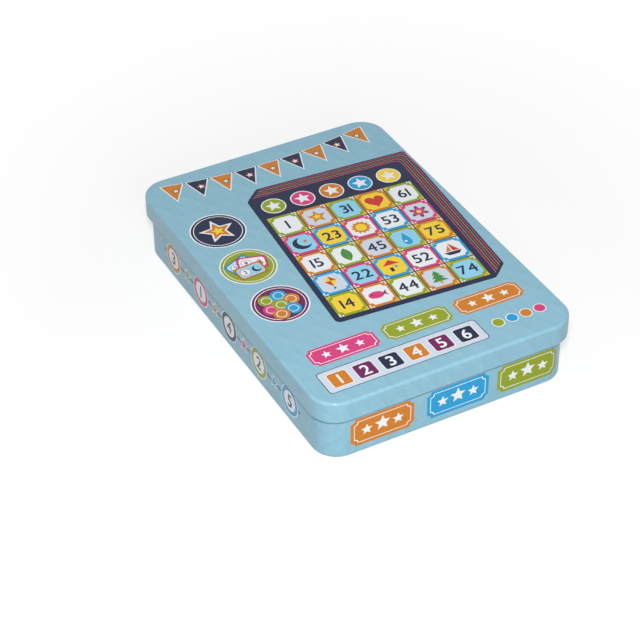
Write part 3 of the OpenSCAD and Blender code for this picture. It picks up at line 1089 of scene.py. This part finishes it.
def laminated(name, ground, core, gloss):
    """Two finishes for printed sheet goods: ink under a clear film, and the cut edge's core."""
    film, tree, shader = new_finish(name + " film", gloss)
    shader.inputs["Coat Weight"].default_value = 0.5
    shader.inputs["Coat Roughness"].default_value = gloss / 2
    place = on_object(tree)
    ink = add(tree, "ShaderNodeVertexColor", {"layer_name": "ink"})
    shown = mixed(tree, ink.node.outputs["Alpha"], ground, ink)
    fibres = noise(tree, place, 500.0, 3.0)
    fibre_shade = spread(tree, fibres, 0.3, 0.7, 0.0, 0.08)
    feed(shader, "Base Color", mixed(tree, fibre_shade, shown, (0.9, 0.9, 0.9, 1), "MULTIPLY"))
    smears = noise(tree, place, 30.0, 4.0, 0.6)
    feed(shader, "Roughness", spread(tree, smears, 0.3, 0.7, gloss * 0.8, gloss * 1.4))
    waves = noise(tree, place, 20.0, 1.0)
    bumped(tree, shader, [(waves, 0.4, 0.0005), (fibres, 0.05, 0.00002)])
    edge, tree, shader = new_finish(name + " core", 0.85)
    plies = noise(tree, stretched(tree, on_object(tree), (1, 1, 30)), 300.0, 4.0)
    darker = tuple(0.82 * v for v in core[:3]) + (1,)
    feed(shader, "Base Color", mixed(tree, plies, darker, core))
    feed(shader, "Roughness", maths(tree, "MULTIPLY_ADD", plies, 0.2, 0.72))
    bumped(tree, shader, [(plies, 0.4, 0.00005)])
    return [film, edge]


def sheet_piece(node, name, size, face_print, finishes, ease):
    """A printed card or board in its node's place: printed faces, eased edges and a bare core."""
    low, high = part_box(node)
    thick = (high.z - low.z) / MM
    line = Outline(*size, steps=8)
    margin = 0.6
    wall = Section(-margin, thick)
    wall.line(-ease, thick, PRINTED)
    wall.bend(-ease, thick - ease, ease, 90, 0, 3, PRINTED)
    wall.line(0, ease, BRIGHT)
    wall.bend(-ease, ease, ease, 0, -90, 3, PRINTED)
    wall.line(-margin, 0, PRINTED)
    body = Tinplate()
    rings = body.add_carried(line, wall)
    region = from_above(rings[:, 0])
    body.add_flat(thick, region, face_print.shapes)
    body.add_flat(0, region)
    piece = body.made(name, finishes)
    piece.data.transform(Matrix.Translation(((low.x + high.x) / 2, (low.y + high.y) / 2, low.z)))
    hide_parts(node)
    return piece


board_finishes = laminated("board", (0.012, 0.024, 0.075, 1), (0.62, 0.6, 0.55, 1), 0.2)
for player in range(1, 7):
    node, name = f"board_{player}", f"laminated_board_{player}"
    board = sheet_piece(node, name, BOARD_SIZE, board_print(player), board_finishes, 0.12)
    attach(board, "base")

# ---------------------------------------------------------------------------------------------
# Calling cards. A deck of two dozen cards of coated stock, each printed with a number and a
# picture, face up in front of the boards. Their backs are plain.
# ---------------------------------------------------------------------------------------------
card_finishes = laminated("calling card", (0.9, 0.89, 0.86, 1), (0.86, 0.85, 0.81, 1), 0.32)
for number in range(1, 25):
    node, name = f"calling_card_{number:02d}", f"card_{number:02d}"
    card = sheet_piece(node, name, CARD_SIZE, card_print(number), card_finishes, 0.06)
    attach(card, "base")

# ---------------------------------------------------------------------------------------------
# Chips. Die-cut counters in the outline of a spinning top, from sheet plastic in four colours,
# with the slightly rounded edges that the die leaves. They lie in layers beside the deck of
# cards and in a long row beside the boards.
# ---------------------------------------------------------------------------------------------
CHIP_PAINTS = {
    "green": (0.2, 0.5, 0.04, 1),
    "blue": (0.03, 0.17, 0.6, 1),
    "orange": (0.85, 0.22, 0.02, 1),
    "pink": (0.78, 0.08, 0.3, 1),
}
for colour, paint in CHIP_PAINTS.items():
    plastic, tree, shader = new_finish(f"{colour} chip plastic", 0.45)
    place = on_object(tree)
    deeper = tuple(0.8 * v for v in paint[:3]) + (1,)
    clouds = noise(tree, place, 70.0, 2.0)
    feed(shader, "Base Color", mixed(tree, clouds, deeper, paint))
    leather = noise(tree, place, 1500.0, 3.0, 0.6)
    feed(shader, "Roughness", maths(tree, "MULTIPLY_ADD", leather, 0.25, 0.36))
    bumped(tree, shader, [(leather, 0.25, 0.00004)])
    chips = softened(f"chips_{colour}", f"die_cut_chips_{colour}", 0.22 * MM, 2)
    chips.data.materials.append(plastic)
    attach(chips, "base")

# ---------------------------------------------------------------------------------------------
# Floor, backdrop and light. A plain pale floor, plain white where the camera and polished
# surfaces look past the tin. A small key lamp a little above the camera is the only one that
# glints. A soft front lamp and three soft fills round the tin only lighten it.
# ---------------------------------------------------------------------------------------------
FLOOR_REACH = 6.0
FLOOR_Z = -0.0001


def seen_directly(tree):
    """1 where a surface is seen by the camera, in a reflection or through glass, and else 0."""
    ray = add(tree, "ShaderNodeLightPath").node.outputs
    seen = maths(tree, "MAXIMUM", ray["Is Camera Ray"], ray["Is Glossy Ray"])
    return maths(tree, "MAXIMUM", seen, ray["Is Transmission Ray"])


def lamp(name, at, size, watts, glints=False):
    """A round lamp aimed at the tin. Only a lamp that glints shows in polished surfaces."""
    light = bpy.data.lights.new(name, "AREA")
    light.shape, light.size, light.energy = "DISK", size, watts
    holder = set_down(name, light)
    holder.location = at
    holder.rotation_euler = (-Vector(at)).to_track_quat("-Z", "Y").to_euler()
    holder.visible_glossy = glints


floor_mesh = bpy.data.meshes.new("floor")
corners = [
    (i * FLOOR_REACH, j * FLOOR_REACH, FLOOR_Z) for i, j in ((-1, -1), (1, -1), (1, 1), (-1, 1))
]
floor_mesh.from_pydata(corners, [], [(0, 1, 2, 3)])
floor = set_down("floor", floor_mesh)
floor_finish, tree, shader = new_finish("pale floor", 0.9)
shader.inputs["Base Color"].default_value = (0.35, 0.35, 0.35, 1)
shader.inputs["Specular IOR Level"].default_value = 0.1
shader.inputs["Emission Color"].default_value = (1, 1, 1, 1)
away = add(tree, "ShaderNodeVectorMath", {"operation": "LENGTH"}, {0: on_object(tree)}, 1)
glow = maths(tree, "MULTIPLY", seen_directly(tree), spread(tree, away, 0.15, 0.7, 0.66, 1.0))
feed(shader, "Emission Strength", glow)
floor_mesh.materials.append(floor_finish)

world = bpy.data.worlds.new("studio")
bpy.context.scene.world = world
world.use_nodes = True
tree = world.node_tree
background = tree.nodes["Background"]
background.inputs["Color"].default_value = (1, 1, 1, 1)
feed(background, "Strength", maths(tree, "MULTIPLY_ADD", seen_directly(tree), 0.78, 0.22))

lamp("key", (-0.4, -0.7, 0.78), 0.1, 9.2, glints=True)
lamp("front", (-0.22, -0.7, 0.4), 0.3, 1.7)
lamp("left fill", (-0.7, 0.6, 0.7), 0.8, 0.5)
lamp("back fill", (-0.3, 1.1, 0.35), 0.8, 1.8)
lamp("right fill", (1.1, 0.1, 0.5), 0.8, 1.3)

bpy.context.scene.view_settings.view_transform = "Standard"
